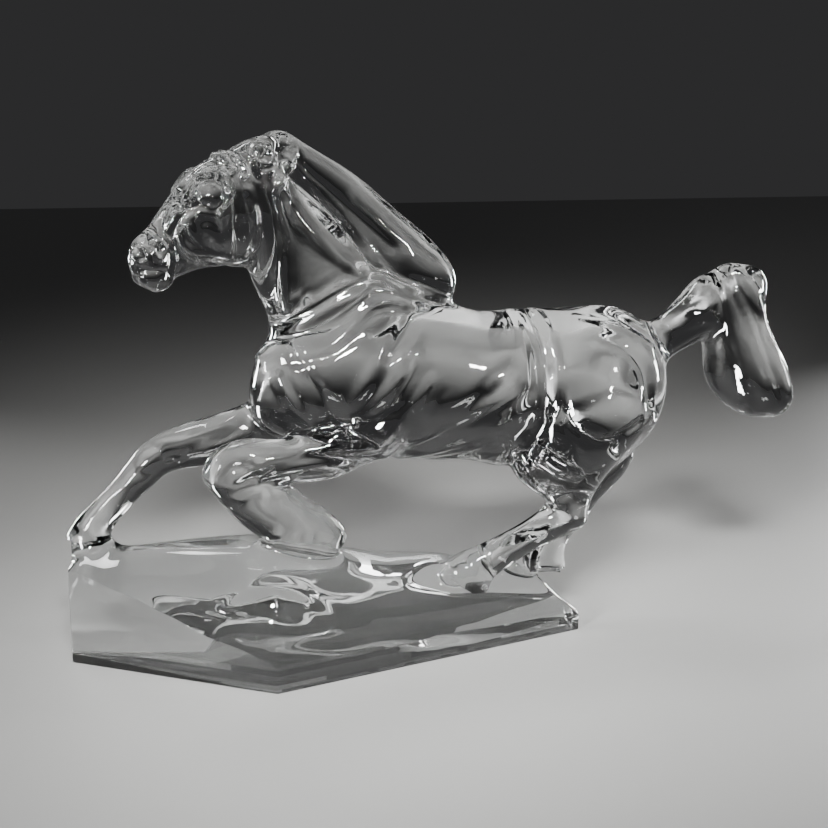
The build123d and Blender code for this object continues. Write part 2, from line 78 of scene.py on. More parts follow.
# ---------------------------------------------------------------- settings
class CrystalHorseSizes(bpy.types.PropertyGroup):
    """Sizes of the glass working."""

    grain: FloatProperty(
        name="Grain", description="Cell size of the gathered skin", default=1.15 * MM, unit="LENGTH"
    )
    overlap: FloatProperty(
        name="Overlap",
        description="How far each region is swollen so that it fuses with its neighbours",
        default=0.12 * MM,
        unit="LENGTH",
    )
    flange: FloatProperty(
        name="Flange",
        description="How far the poured ground runs past the plinth's walls before they are cut",
        default=9 * MM,
        unit="LENGTH",
    )
    verge: FloatProperty(
        name="Verge", description="Width over which the ground settles to the line of the walls' tops",
        default=16 * MM, unit="LENGTH",
    )
    brow: FloatProperty(
        name="Brow", description="Width of the rounded brow along the ground's edge", default=4 * MM,
        unit="LENGTH",
    )
    bevel: FloatProperty(
        name="Bevel", description="Width of the polished bevel on the plinth's straight edges",
        default=0.5 * MM, unit="LENGTH",
    )
    melt: IntProperty(
        name="Melt", description="Passes that melt the joins into fillets", default=14
    )


class CrystalHorseGlass(bpy.types.PropertyGroup):
    """The crystal's finish."""

    tint: FloatVectorProperty(
        name="Tint", description="Colour of the glass", subtype="COLOR", default=(0.985, 0.99, 0.99)
    )
    bend: FloatProperty(name="Index", description="Refractive index of lead crystal", default=1.55)


class CrystalHorseStage(bpy.types.PropertyGroup):
    """Floor and light."""

    floor: FloatVectorProperty(
        name="Floor", description="Colour of the table", subtype="COLOR", default=(0.40, 0.40, 0.39)
    )
    room: FloatVectorProperty(
        name="Room", description="Colour of the unlit room", subtype="COLOR", default=(0.03, 0.03, 0.031)
    )
    key: FloatProperty(name="Key light", description="Power of the large soft box", default=0.24)


# ---------------------------------------------------------------- mesh helpers
def skin():
    """The glass piece."""
    return bpy.data.objects[PIECE]


def add_mesh(bm, part):
    """Adds the mesh part to bm and frees it."""
    mesh = bpy.data.meshes.new("scratch")
    part.to_mesh(mesh)
    part.free()
    bm.from_mesh(mesh)
    bpy.data.meshes.remove(mesh)


def node_copy(bm, node, swell):
    """Adds a merged copy of a packed region to bm, swollen by a little."""
    part = bmesh.new()
    part.from_mesh(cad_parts[node].data)
    bmesh.ops.remove_doubles(part, verts=part.verts, dist=1e-6)
    bmesh.ops.recalc_face_normals(part, faces=part.faces)
    part.normal_update()
    for vert in part.verts:
        vert.co += vert.normal * swell
    add_mesh(bm, part)


def evaluated(obj, name):
    """The mesh that obj's modifiers leave, as a new mesh."""
    depsgraph = bpy.context.evaluated_depsgraph_get()
    depsgraph.update()
    mesh = bpy.data.meshes.new_from_object(obj.evaluated_get(depsgraph), depsgraph=depsgraph)
    mesh.name = name
    return mesh


class Skin:
    """The glass skin as arrays, with the moves that melt and model it."""

    def __init__(self, mesh):
        self.mesh = mesh
        count = len(mesh.vertices)
        self.places = np.empty(count * 3)
        mesh.vertices.foreach_get("co", self.places)
        self.places = self.places.reshape(-1, 3)
        edges = np.empty(len(mesh.edges) * 2, dtype=np.int64)
        mesh.edges.foreach_get("vertices", edges)
        self.edges = edges.reshape(-1, 2)
        self.degree = np.bincount(edges, minlength=count)[:, None]

    def normals(self):
        """Outward normals at the present places."""
        self.mesh.vertices.foreach_set("co", self.places.ravel())
        self.mesh.update()
        out = np.empty(self.places.size)
        self.mesh.vertex_normals.foreach_get("vector", out)
        return out.reshape(-1, 3)

    def mean(self, values):
        """The mean of each vertex's neighbours' values."""
        first, second = self.edges.T
        total = np.stack(
            [
                np.bincount(first, values[second, axis], minlength=len(values))
                + np.bincount(second, values[first, axis], minlength=len(values))
                for axis in range(values.shape[1])
            ],
            axis=1,
        )
        return total / self.degree

    def smooth(self, passes, mask=1.0):
        """Evens out the skin, or only the part of it that mask picks."""
        for _ in range(passes):
            self.places += (self.mean(self.places) - self.places) * 0.5 * mask

    def melt(self, passes, keep):
        """Fills the hollows between forms and leaves the proud places where they are, to within keep."""
        start, normals = self.places.copy(), self.normals()
        for _ in range(passes):
            self.places += (self.mean(self.places) - self.places) * 0.5
            lost = -np.einsum("ij,ij->i", self.places - start, normals) - keep
            self.places += normals * np.maximum(lost, 0)[:, None]

    def stroke(self, facing, line, half, height, crease):
        """Raises or cuts a line on the skin, along the normals in facing."""
        line = np.array(line)
        near = np.all(
            (self.places > line.min(axis=0) - half) & (self.places < line.max(axis=0) + half), axis=1
        )
        picked = np.flatnonzero(near)
        if not len(picked):
            return
        steps = self.places[picked][:, None, :] - line[None, :, :]
        away = np.sqrt(np.einsum("ijk,ijk->ij", steps, steps).min(axis=1)) / half
        inside = np.maximum(1 - away, 0)
        lift = inside**2 * (1.0 if crease else 1 + 2 * away)
        self.places[picked] += facing[picked] * (lift * height)[:, None]

    def store(self):
        """Writes the places back to the mesh."""
        self.mesh.vertices.foreach_set("co", self.places.ravel())
        self.mesh.update()


# ---------------------------------------------------------------- modelling strokes
class Canvas:
    """A flat field laid over part of the figure, from which strokes are cast on to the glass.

    A point is (share across, share up). The near cast runs along depth, the far cast against it.
    """

    def __init__(self, origin, across, up, depth):
        self.origin, self.across, self.up = origin, across, up
        self.depth = depth.normalized()

    def cast(self, tree, point, far=False):
        """Where a point of the field lands on the glass, or None if it misses."""
        ray = -self.depth if far else self.depth
        start = self.origin + self.across * point[0] + self.up * point[1] - ray * 0.3
        return tree.ray_cast(start, ray)[0]


def side_canvas(*nodes):
    """A field seen from the figure's side, over the box round some packed regions."""
    boxes = [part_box(node) for node in nodes]
    low = Vector([min(box[0][axis] for box in boxes) for axis in range(3)])
    high = Vector([max(box[1][axis] for box in boxes) for axis in range(3)])
    origin = Vector((low.x, (low.y + high.y) / 2, low.z))
    return Canvas(origin, Vector((high.x - low.x, 0, 0)), Vector((0, 0, high.z - low.z)), Vector((0, 1, 0)))


def middle(node):
    """The middle of a packed region's box."""
    low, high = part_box(node)
    return (low + high) / 2


def head_axes():
    """The turned head: a place under the poll, and the level step from there to the muzzle."""
    low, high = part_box("head")
    poll = (middle("left_ear") + middle("right_ear")) / 2
    poll.z = low.z
    ahead = middle("muzzle") - poll
    ahead.z = 0.0
    return poll, ahead, Vector((0, 0, high.z - low.z))


def head_canvas():
    """A field seen square on to the side of the turned head."""
    poll, ahead, up = head_axes()
    return Canvas(poll, ahead, up, Vector((ahead.y, -ahead.x, 0)))


def ground_canvas():
    """A field seen from above the plinth."""
    low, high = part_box("plinth")
    size = high - low
    return Canvas(low, Vector((size.x, 0, 0)), Vector((0, size.y, 0)), Vector((0, 0, -1)))


def head_edges(bm):
    """The edges on the head, where the modelling is finest."""
    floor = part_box("muzzle")[0].z - 3 * MM
    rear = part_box("head")[1].x + 3 * MM
    inside = {vert.index for vert in bm.verts if vert.co.z > floor and vert.co.x < rear}
    return [e for e in bm.edges if e.verts[0].index in inside and e.verts[1].index in inside]


def patch(places, centre, radius):
    """1 in the middle of a round patch, fading to 0 at its radius."""
    away = np.linalg.norm(places - np.array(centre), axis=1) / radius
    return np.clip(1.5 * (1 - away), 0, 1)[:, None]


def soft_patches():
    """Where the glass ran soft again after modelling: (centre, radius, passes)."""
    chin = middle("muzzle")
    chin.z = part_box("muzzle")[0].z
    spots = [(chin, 9 * MM, 40)]
    for ear in ("left_ear", "right_ear"):
        tip = middle(ear)
        tip.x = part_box(ear)[1].x
        spots.append((tip, 7 * MM, 14))
    return spots


def canvases():
    """Every field by name."""
    return {
        "head": head_canvas(),
        "neck": side_canvas("neck", "mane"),
        "trunk": side_canvas("forequarters", "barrel", "hindquarters"),
        "fore": side_canvas("left_forearm", "left_fore_cannon", "left_fore_hoof"),
        "lead": side_canvas("right_forearm", "right_fore_cannon", "right_fore_hoof"),
        "hind": side_canvas("left_thigh", "left_hind_cannon", "left_hind_hoof"),
        "back": side_canvas("right_thigh", "right_hind_cannon", "right_hind_hoof"),
        "tail": side_canvas("tail_dock", "tail_brush"),
        "ground": ground_canvas(),
    }


def curve(points, steps=14):
    """Points along a smooth line through the given ones."""
    if len(points) == 1:
        return points
    ends = [points[0], *points, points[-1]]
    line = []
    for a, b, c, d in zip(ends, ends[1:], ends[2:], ends[3:]):
        for step in range(steps):
            t = step / steps
            line.append(
                tuple(
                    0.5 * (2 * q + (r - p) * t + (2 * p - 5 * q + 4 * r - s) * t**2
                           + (3 * q - p - 3 * r + s) * t**3)
                    for p, q, r, s in zip(a, b, c, d)
                )
            )
    return line + [points[-1]]


def shifted(points, across, up):
    """The same line set aside by a step."""
    return [(x + across, y + up) for x, y in points]


def between(first, second, share):
    """The line at a share of the way from one to another."""
    return [
        (a[0] + (b[0] - a[0]) * share, a[1] + (b[1] - a[1]) * share) for a, b in zip(first, second)
    ]


def ring(across, up, wide, high):
    """Points round an oval."""
    turns = np.linspace(0, 2 * np.pi, 10)
    return [(across + wide * float(np.sin(t)), up + high * float(np.cos(t))) for t in turns]


MANE_EDGE = [(0.19, 0.80), (0.29, 0.71), (0.40, 0.61), (0.49, 0.49), (0.60, 0.31)]
MANE_TOP = [(0.22, 0.93), (0.36, 0.84), (0.54, 0.72), (0.71, 0.58), (0.87, 0.43)]
MANE_LOW = [(0.24, 0.85), (0.36, 0.73), (0.53, 0.56), (0.70, 0.37), (0.86, 0.24)]
FLANK = [(0.64, 0.95), (0.66, 0.83), (0.67, 0.69), (0.67, 0.49), (0.66, 0.34), (0.63, 0.20)]
COLLAR_UP = [
    (0.15, 0.02), (0.21, 0.05), (0.30, 0.10), (0.41, 0.17), (0.52, 0.23), (0.60, 0.28), (0.70, 0.23),
    (0.84, 0.19), (0.95, 0.14),
]
COLLAR_LOW = [
    (0.02, 0.70), (0.07, 0.75), (0.13, 0.78), (0.18, 0.81), (0.23, 0.89), (0.26, 0.97), (0.31, 1.0),
    (0.40, 0.96), (0.48, 0.90),
]
BRUSH_BACK = [(0.56, 0.97), (0.70, 0.77), (0.84, 0.45), (0.96, 0.13)]
BRUSH_FRONT = [(0.41, 0.79), (0.47, 0.53), (0.55, 0.28), (0.66, 0.09)]

# Each stroke: field, sides, half width and height in millimetres (below zero cuts in), crease or
# soft, and the line's points.
STROKES = [
    # face
    ("head", "both", 5.2, 1.2, "soft", [(0.57, 0.67)]),
    ("head", "both", 1.5, -0.9, "soft", ring(0.57, 0.68, 0.11, 0.11)),
    ("head", "both", 1.1, -0.5, "soft", ring(0.57, 0.67, 0.045, 0.045)),
    ("head", "both", 1.9, 1.2, "soft",
     [(0.72, 0.70), (0.65, 0.80), (0.54, 0.84), (0.45, 0.80), (0.41, 0.70)]),
    ("head", "both", 2.2, 1.1, "soft", [(0.67, 0.85), (0.59, 0.92), (0.47, 0.95), (0.35, 0.97)]),
    ("head", "both", 1.6, -0.8, "crease", [(0.68, 0.80), (0.56, 0.89), (0.44, 0.90), (0.30, 0.90)]),
    ("head", "both", 2.4, 0.8, "soft", [(0.59, 0.85), (0.71, 0.70), (0.83, 0.55), (0.90, 0.44)]),
    ("head", "both", 1.8, -0.8, "soft", [(0.62, 0.60), (0.72, 0.58), (0.80, 0.50), (0.86, 0.42)]),
    ("head", "both", 2.4, 0.9, "soft",
     [(0.26, 0.70), (0.23, 0.51), (0.20, 0.31), (0.25, 0.18), (0.35, 0.16), (0.53, 0.21), (0.71, 0.24),
      (0.81, 0.32), (0.82, 0.42), (0.75, 0.52)]),
    ("head", "both", 1.7, -0.9, "crease",
     [(0.20, 0.22), (0.32, 0.10), (0.54, 0.14), (0.72, 0.16), (0.85, 0.27)]),
    ("head", "both", 4.5, -0.8, "soft", [(0.36, 0.62), (0.40, 0.44)]),
    ("head", "both", 3.0, 0.7, "soft", [(0.62, 0.42), (0.52, 0.30)]),
    # muzzle
    ("head", "both", 1.2, -0.7, "crease", [(0.93, 0.42), (0.86, 0.32), (0.83, 0.19), (0.86, 0.06)]),
    ("head", "both", 1.1, 0.6, "soft", [(0.96, 0.41), (0.90, 0.32), (0.87, 0.20), (0.90, 0.07)]),
    ("head", "both", 1.0, -0.5, "crease", [(0.99, 0.40), (0.93, 0.31), (0.91, 0.20), (0.94, 0.08)]),
    ("head", "near", 1.2, 1.0, "soft", ring(1.00, 0.28, 0.055, 0.07)),
    ("head", "near", 1.9, -2.2, "soft", [(1.00, 0.28)]),
    ("head", "near", 1.2, 1.0, "soft", ring(1.13, 0.25, 0.035, 0.065)),
    ("head", "near", 1.8, -2.2, "soft", [(1.13, 0.24)]),
    ("head", "near", 1.2, -0.6, "crease", [(1.07, 0.38), (1.08, 0.28), (1.06, 0.17)]),
    ("head", "both", 1.2, -1.0, "crease", [(1.14, 0.14), (1.08, 0.12), (1.01, 0.12), (0.94, 0.10)]),
    ("head", "both", 4.5, 1.4, "soft", [(0.93, 0.01), (1.00, 0.0), (1.07, 0.03)]),
    # ear and poll
    ("head", "both", 1.4, 0.9, "soft", ring(0.09, 0.96, 0.08, 0.075)),
    ("head", "both", 2.0, -1.4, "soft", [(0.11, 0.95), (0.07, 0.97)]),
    ("head", "both", 1.5, -0.9, "crease", [(0.20, 0.92), (0.21, 0.84), (0.17, 0.78)]),
    ("head", "both", 1.6, 0.8, "soft", [(0.34, 0.98), (0.28, 0.90), (0.25, 0.84), (0.30, 0.80)]),
    ("head", "both", 1.3, 0.7, "soft", [(0.42, 0.94), (0.36, 0.86), (0.40, 0.82), (0.46, 0.85)]),
    # neck and mane
    ("neck", "both", 1.9, 0.9, "soft",
     [(0.11, 0.80), (0.15, 0.62), (0.18, 0.48), (0.18, 0.30), (0.19, 0.14)]),
    ("neck", "both", 2.4, -0.9, "soft", [(0.15, 0.78), (0.20, 0.60), (0.25, 0.42), (0.27, 0.22)]),
    ("neck", "both", 3.4, 1.0, "soft", [(0.14, 0.80), (0.24, 0.62), (0.38, 0.44), (0.54, 0.31)]),
    ("neck", "both", 2.0, -1.5, "crease", MANE_EDGE),
    ("neck", "both", 2.0, 0.9, "soft", shifted(MANE_EDGE, 0.02, 0.04)),
    ("neck", "both", 1.5, -0.9, "crease", MANE_TOP),
    ("neck", "both", 1.2, -0.6, "crease", between(MANE_TOP, MANE_LOW, 0.22)),
    ("neck", "both", 1.1, -0.5, "crease", between(MANE_TOP, MANE_LOW, 0.40)[2:]),
    ("neck", "both", 1.1, -0.5, "crease", between(MANE_TOP, MANE_LOW, 0.58)[3:]),
    ("neck", "both", 3.2, -0.9, "soft", between(MANE_TOP, MANE_LOW, 0.80)[:4]),
    ("neck", "both", 2.0, 0.9, "soft", COLLAR_UP),
    ("neck", "both", 1.5, -0.9, "crease", shifted(COLLAR_UP, 0.0, 0.05)),
    ("neck", "both", 1.3, -0.7, "crease", shifted(COLLAR_UP, 0.0, -0.05)),
    ("trunk", "both", 1.9, 1.0, "soft", COLLAR_LOW),
    ("trunk", "both", 1.5, -0.9, "crease", shifted(COLLAR_LOW, 0.0, -0.05)),
    # shoulder and breast
    ("trunk", "both", 2.6, -1.3, "soft", [(0.36, 0.90), (0.33, 0.81), (0.30, 0.73)]),
    ("trunk", "both", 2.0, 0.9, "soft", [(0.39, 0.88), (0.36, 0.79), (0.32, 0.70)]),
    ("trunk", "both", 3.0, -1.2, "soft", [(0.09, 0.77), (0.14, 0.60), (0.19, 0.42), (0.27, 0.31)]),
    ("trunk", "both", 3.4, 0.9, "soft", [(0.05, 0.66), (0.09, 0.50), (0.15, 0.36)]),
    ("trunk", "both", 1.9, 1.0, "soft", [(0.16, 0.34), (0.22, 0.41), (0.28, 0.53), (0.33, 0.66)]),
    ("trunk", "both", 1.8, -1.0, "crease", [(0.18, 0.29), (0.25, 0.37), (0.31, 0.50), (0.36, 0.66)]),
    ("trunk", "both", 1.8, 0.8, "soft", [(0.22, 0.26), (0.29, 0.34), (0.35, 0.48), (0.40, 0.62)]),
    ("trunk", "both", 1.6, -0.8, "crease", [(0.26, 0.24), (0.33, 0.32), (0.39, 0.44), (0.43, 0.56)]),
    # belly and flank
    ("trunk", "both", 2.6, -1.1, "soft", [(0.33, 0.22), (0.44, 0.33), (0.56, 0.46), (0.63, 0.54)]),
    ("trunk", "both", 2.2, 0.9, "soft", [(0.34, 0.18), (0.46, 0.26), (0.57, 0.37), (0.63, 0.45)]),
    ("trunk", "both", 1.8, -0.8, "soft", [(0.38, 0.15), (0.49, 0.20), (0.58, 0.28), (0.63, 0.35)]),
    ("trunk", "both", 2.4, -1.2, "soft", FLANK),
    ("trunk", "both", 1.9, 0.9, "soft", shifted(FLANK, 0.026, 0.0)),
    ("trunk", "both", 1.5, 0.6, "soft", shifted(FLANK, -0.026, 0.0)),
    # haunch
    ("trunk", "both", 3.6, -1.0, "soft", [(0.80, 0.78), (0.87, 0.72), (0.91, 0.61), (0.92, 0.45)]),
    ("trunk", "both", 2.4, 0.8, "soft", [(0.76, 0.88), (0.85, 0.84), (0.94, 0.72)]),
    ("trunk", "both", 2.2, -1.0, "soft", [(0.71, 0.55), (0.73, 0.36), (0.80, 0.28), (0.90, 0.36)]),
    ("hind", "near", 2.0, -1.0, "crease", [(0.30, 0.70), (0.38, 0.58), (0.47, 0.50), (0.60, 0.52)]),
    ("hind", "near", 2.2, 0.9, "soft", [(0.40, 0.72), (0.50, 0.64), (0.62, 0.60)]),
    ("hind", "near", 1.8, -0.9, "soft", [(0.52, 0.83), (0.59, 0.72), (0.63, 0.60), (0.74, 0.62)]),
    # legs and hooves
    ("hind", "near", 1.7, 0.8, "soft", [(0.10, 0.23), (0.24, 0.31), (0.40, 0.38), (0.54, 0.46)]),
    ("hind", "near", 1.3, -0.8, "crease", [(0.22, 0.32), (0.21, 0.25), (0.23, 0.18)]),
    ("hind", "near", 1.3, -0.9, "crease", [(0.09, 0.22), (0.13, 0.16), (0.20, 0.09)]),
    ("hind", "near", 1.5, 0.8, "soft", [(0.02, 0.17), (0.05, 0.10), (0.14, 0.06)]),
    ("back", "far", 1.6, 0.8, "soft", [(0.30, 0.30), (0.50, 0.42), (0.75, 0.55)]),
    ("back", "far", 1.4, -0.8, "crease", [(0.20, 0.16), (0.35, 0.20), (0.50, 0.14)]),
    ("fore", "near", 2.0, 0.9, "soft", [(0.20, 0.66), (0.38, 0.76), (0.60, 0.80), (0.84, 0.76)]),
    ("fore", "near", 2.0, -1.0, "crease", [(0.22, 0.60), (0.41, 0.70), (0.62, 0.73), (0.85, 0.70)]),
    ("fore", "near", 1.8, -0.8, "soft", [(0.18, 0.52), (0.37, 0.60), (0.58, 0.63)]),
    ("fore", "near", 1.8, 0.9, "soft", [(0.04, 0.70), (0.10, 0.79), (0.19, 0.82), (0.26, 0.76)]),
    ("fore", "near", 1.6, -0.9, "soft", [(0.10, 0.60), (0.15, 0.69), (0.22, 0.68), (0.27, 0.59)]),
    ("fore", "near", 1.7, 0.8, "soft", [(0.08, 0.50), (0.16, 0.38), (0.25, 0.27), (0.34, 0.18)]),
    ("fore", "near", 1.6, -0.9, "crease", [(0.28, 0.46), (0.34, 0.35), (0.36, 0.20)]),
    ("fore", "near", 1.5, 0.9, "soft", [(0.40, 0.40), (0.46, 0.30), (0.48, 0.16)]),
    ("fore", "near", 1.3, -0.8, "crease", [(0.44, 0.42), (0.51, 0.32), (0.54, 0.18)]),
    ("fore", "near", 1.6, -0.7, "soft", ring(0.16, 0.64, 0.05, 0.07)),
    ("fore", "near", 1.7, 0.7, "soft", ring(0.17, 0.62, 0.10, 0.15)),
    ("fore", "near", 1.6, -0.7, "soft", [(0.06, 0.44), (0.16, 0.33), (0.28, 0.22), (0.38, 0.14)]),
    ("fore", "near", 1.6, 0.8, "soft", [(0.36, 0.66), (0.52, 0.70), (0.68, 0.68)]),
    ("fore", "near", 1.4, -0.8, "crease", [(0.30, 0.58), (0.46, 0.64), (0.60, 0.66), (0.72, 0.62)]),
    ("lead", "both", 2.0, 0.9, "soft", [(0.33, 0.60), (0.42, 0.70), (0.55, 0.78), (0.70, 0.87)]),
    ("lead", "both", 1.8, -0.8, "crease", [(0.34, 0.54), (0.45, 0.63), (0.58, 0.70), (0.72, 0.77)]),
    ("lead", "both", 1.6, -0.8, "soft", [(0.36, 0.75), (0.42, 0.66), (0.50, 0.63)]),
    ("lead", "both", 1.6, 0.8, "soft", [(0.12, 0.29), (0.20, 0.41), (0.30, 0.53)]),
    ("lead", "both", 1.3, -0.9, "crease", [(0.05, 0.24), (0.10, 0.20), (0.15, 0.12)]),
    ("lead", "both", 1.3, 0.8, "soft", [(0.02, 0.16), (0.06, 0.20), (0.10, 0.19)]),
    # ground
    ("ground", "near", 7.0, -0.7, "soft",
     [(0.16, 0.20), (0.28, 0.15), (0.45, 0.13), (0.70, 0.15), (0.90, 0.22)]),
    ("ground", "near", 4.0, 0.4, "soft",
     [(0.10, 0.34), (0.22, 0.26), (0.40, 0.22), (0.62, 0.23), (0.80, 0.28)]),
    ("ground", "near", 7.0, -0.7, "soft", [(0.12, 0.78), (0.30, 0.84), (0.55, 0.85), (0.82, 0.78)]),
    # tail
    ("tail", "both", 1.9, -0.9, "crease", [(0.03, 0.66), (0.17, 0.72), (0.32, 0.81), (0.43, 0.91)]),
    ("tail", "both", 1.9, 0.8, "soft", [(0.03, 0.61), (0.19, 0.64), (0.31, 0.70), (0.42, 0.79)]),
    ("tail", "both", 1.7, -0.8, "crease", [(0.10, 0.55), (0.23, 0.59), (0.37, 0.63)]),
    ("tail", "both", 2.0, 0.9, "soft", BRUSH_BACK),
    ("tail", "both", 1.9, -1.0, "crease", between(BRUSH_BACK, BRUSH_FRONT, 0.22)),
    ("tail", "both", 1.6, -0.5, "soft", between(BRUSH_BACK, BRUSH_FRONT, 0.5)),
    ("tail", "both", 4.0, -0.9, "soft", between(BRUSH_BACK, BRUSH_FRONT, 0.75)),
]


# ---------------------------------------------------------------- plinth geometry
GROUND_COLUMNS, GROUND_ROWS = 130, 80
GROUND_FALL = 1.2           # how steeply the ground falls away past the walls
GROUND_BELOW = 6 * MM       # how far the poured ground reaches below the underside
BROW_DROP = 0.6             # how far the brow drops at the walls, as a share of its width
WALL_MARGIN = 0.3 * MM      # how far inside the walls the ground begins to fall
CUTTER_BELOW = 20 * MM      # how far the cutting ring reaches below the underside
CUTTER_ABOVE = 5 * MM       # how far it reaches above the walls' tops
CUTTER_WIDTH = 3            # its outer edge, as a multiple of the plinth's outline


def plinth_corners():
    """The plinth's upright corners in order round it: (x, y, height of the wall there)."""
    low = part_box("plinth")[0].z
    places = [v.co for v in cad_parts["plinth"].data.vertices]
    feet = {(round(p.x, 5), round(p.y, 5)) for p in places if p.z < low + 1e-5}
    tops = {}
    for p in places:
        key = (round(p.x, 5), round(p.y, 5))
        if key in feet and p.z > low + 1e-3:
            tops[key] = max(tops.get(key, 0.0), p.z)
    return sorted(((x, y, z) for (x, y), z in tops.items()), key=lambda c: atan2(c[1], c[0]))


def pour_ground(bm, flange, brow, verge):
    """Adds the plinth's ground to bm as a slab that runs past the walls and rounds over near them."""
    low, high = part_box("plinth")
    part = bmesh.new()
    part.from_mesh(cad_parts["plinth"].data)
    tree = BVHTree.FromBMesh(part)
    part.free()
    corners = [Vector(corner) for corner in plinth_corners()]
    sides = list(zip(corners, corners[1:] + corners[:1]))

    def height(x, y):
        """The ground at a place: straight along the walls' tops, and falling away past them."""
        place, fall, inside, edge = Vector((x, y)), 0.0, 1.0, 0.0
        for start, end in sides:
            along = (end - start).xy.normalized()
            outward = Vector((along.y, -along.x))
            outside = (place - start.xy).dot(outward) + WALL_MARGIN
            if -outside < inside:
                inside = -outside
                share = (place - start.xy).dot(along) / (end - start).xy.length
                edge = start.z + (end.z - start.z) * min(max(share, 0.0), 1.0)
            if outside > 0:
                place = place - outward * outside
                fall += outside * GROUND_FALL
        hit = tree.ray_cast(Vector((*place, high.z + 0.05)), Vector((0, 0, -1)))[0]
        near = min(max(1 - inside / verge, 0.0), 1.0)
        near = near * near * (3 - 2 * near)
        level = (hit.z if hit else edge) * (1 - near) + edge * near
        round_over = 1 - (1 - (1 - min(max(inside, 0.0) / brow, 1.0)) ** 2) ** 0.5
        return level - fall - brow * BROW_DROP * round_over

    slab = bmesh.new()
    bmesh.ops.create_grid(slab, x_segments=GROUND_COLUMNS, y_segments=GROUND_ROWS, size=0.5)
    spread = high - low
    for vert in slab.verts:
        vert.co.x = vert.co.x * (spread.x + 2 * flange) + (low.x + high.x) / 2
        vert.co.y = vert.co.y * (spread.y + 2 * flange) + (low.y + high.y) / 2
        vert.co.z = height(vert.co.x, vert.co.y)
    rim = bmesh.ops.extrude_face_region(slab, geom=slab.faces[:])
    for vert in (item for item in rim["geom"] if isinstance(item, bmesh.types.BMVert)):
        vert.co.z = low.z - GROUND_BELOW
    bmesh.ops.recalc_face_normals(slab, faces=slab.faces)
    add_mesh(bm, slab)


def wall_cutter():
    """A ring that holds everything outside the plinth's walls, to a little above their tops."""
    corners = plinth_corners()
    tops = {(round(x, 5), round(y, 5)): z for x, y, z in corners}
    bm = bmesh.new()
    feet = [bm.verts.new((x, y, -CUTTER_BELOW)) for x, y, _ in corners]
    first = [bm.edges.new((a, b)) for a, b in zip(feet, feet[1:] + feet[:1])]

    def drawn(loop, move):
        """Extrudes a loop of edges and moves its vertices."""
        made = bmesh.ops.extrude_edge_only(bm, edges=loop)["geom"]
        verts = [item for item in made if isinstance(item, bmesh.types.BMVert)]
        for vert in verts:
            move(vert)
        fresh = set(verts)
        return [e for e in made if isinstance(e, bmesh.types.BMEdge) and set(e.verts) <= fresh]

    def lift(vert):
        vert.co.z = tops[(round(vert.co.x, 5), round(vert.co.y, 5))] + CUTTER_ABOVE

    def widen(vert):
        vert.co.x *= CUTTER_WIDTH
        vert.co.y *= CUTTER_WIDTH

    def drop(vert):
        vert.co.z = -CUTTER_BELOW

    upper = drawn(first, lift)
    outer = drawn(upper, widen)
    under = drawn(outer, drop)
    bmesh.ops.bridge_loops(bm, edges=under + first)
    bmesh.ops.recalc_face_normals(bm, faces=bm.faces)
    mesh = bpy.data.meshes.new("wall_cutter")
    bm.to_mesh(mesh)
    bm.free()
    return bpy.data.objects.new("wall_cutter", mesh)


def straight(edge, floor):
    """Whether an edge is one of the plinth's uprights or lies round its underside."""
    first, second = (vert.co for vert in edge.verts)
    if edge.calc_face_angle(0) < radians(20):
        return False
    if max(first.z, second.z) < floor + 1e-5:
        return True
    level = (first.xy - second.xy).length
    return level < 1e-5 and edge.calc_length() > 5 * MM


# ---------------------------------------------------------------- operators: the glass
MELT_KEEP = 0.12 * MM       # how far a proud place may sink while its joins melt
PINCH = 0.4                 # vertices nearer than this share of the grain are merged


class CRYSTAL_OT_gather(bpy.types.Operator):
    """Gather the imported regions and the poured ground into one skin"""

    bl_idname = "crystal.gather"
    bl_label = "Gather the glass"

    def execute(self, context):
        sizes = context.scene.crystal_sizes
        bm = bmesh.new()
        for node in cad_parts:
            if node != "plinth":
                node_copy(bm, node, sizes.overlap)
        pour_ground(bm, sizes.flange, sizes.brow, sizes.verge)
        mesh = bpy.data.meshes.new(PIECE)
        bm.to_mesh(mesh)
        bm.free()
        obj = bpy.data.objects.new(PIECE, mesh)
        context.scene.collection.objects.link(obj)
        fuse = obj.modifiers.new("fuse", "REMESH")
        fuse.mode = "VOXEL"
        fuse.voxel_size = sizes.grain
        fuse.use_smooth_shade = True
        fused = evaluated(obj, PIECE)
        obj.modifiers.clear()
        obj.data = fused
        bpy.data.meshes.remove(mesh)
        return {"FINISHED"}


class CRYSTAL_OT_melt(bpy.types.Operator):
    """Melt the joins between the regions into soft fillets"""

    bl_idname = "crystal.melt"
    bl_label = "Melt the joins"

    def execute(self, context):
        glass = Skin(skin().data)
        glass.smooth(3)
        glass.melt(context.scene.crystal_sizes.melt, MELT_KEEP)
        glass.smooth(3)
        glass.store()
        return {"FINISHED"}


